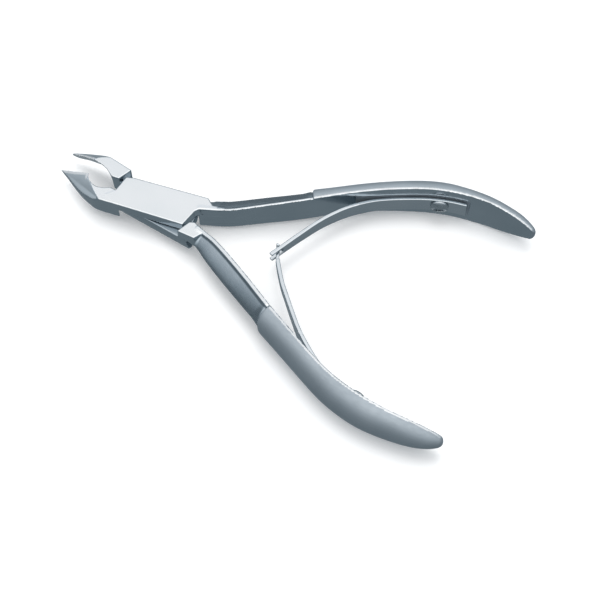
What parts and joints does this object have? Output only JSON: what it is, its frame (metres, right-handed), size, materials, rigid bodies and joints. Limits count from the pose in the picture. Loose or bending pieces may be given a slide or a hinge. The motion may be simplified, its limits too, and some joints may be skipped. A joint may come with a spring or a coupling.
{
  "type": "cuticle nipper",
  "caption": "Cuticle nipper with crossed steel levers on a lap joint, curved handles, pointed cutting jaws and hooked leaf springs that push the handles apart.",
  "frame": {"origin": "on the pivot's axis, in the polished front face of the lap joint", "axes": "+Z out of the joint's front face along the pivot's axis, +X between the handles towards their tips, jaws along -X, front lever's handle on the +Y side"},
  "size_m": [0.1099, 0.0666, 0.0096],
  "materials": {
    "lever_steel": "hardened stainless steel, mirror polished on the joint and satin ground on the jaws and handles",
    "spring_steel": "bright spring steel with polished edges",
    "screw_steel": "turned steel"
  },
  "bodies": {
    "front_lever": {"front_lever": "lever_steel", "front_leaf_foot": "spring_steel", "front_leaf_screw": "screw_steel", "pivot_screw": "screw_steel"},
    "back_lever": {"back_lever": "lever_steel", "back_leaf_foot": "spring_steel", "back_leaf_screw": "screw_steel"},
    "front_leaf": {"front_leaf_arm": "spring_steel"},
    "back_leaf": {"back_leaf_arm": "spring_steel"}
  },
  "joints": [
    {"name": "pivot", "type": "hinge", "parent": "front_lever", "child": "back_lever", "pos_m": [0, 0, 0], "axis": [0, 0, 1], "range_deg": [0, 10.5], "stiffness_Nm_per_rad": 1},
    {"name": "front_leaf_flex", "type": "hinge", "parent": "front_lever", "child": "front_leaf", "pos_m": [0.04726, 0.02277, -0.0024], "axis": [0, 0, 1], "range_deg": [-7.2, 0]},
    {"name": "back_leaf_flex", "type": "hinge", "parent": "back_lever", "child": "back_leaf", "pos_m": [0.05322, -0.02454, -0.0024], "axis": [0, 0, 1], "range_deg": [0, 7.4]}
  ],
  "couplings": [
    {"joint": "front_leaf_flex", "follows": "pivot", "ratio": -0.66},
    {"joint": "back_leaf_flex", "follows": "pivot", "ratio": 0.68}
  ]
}
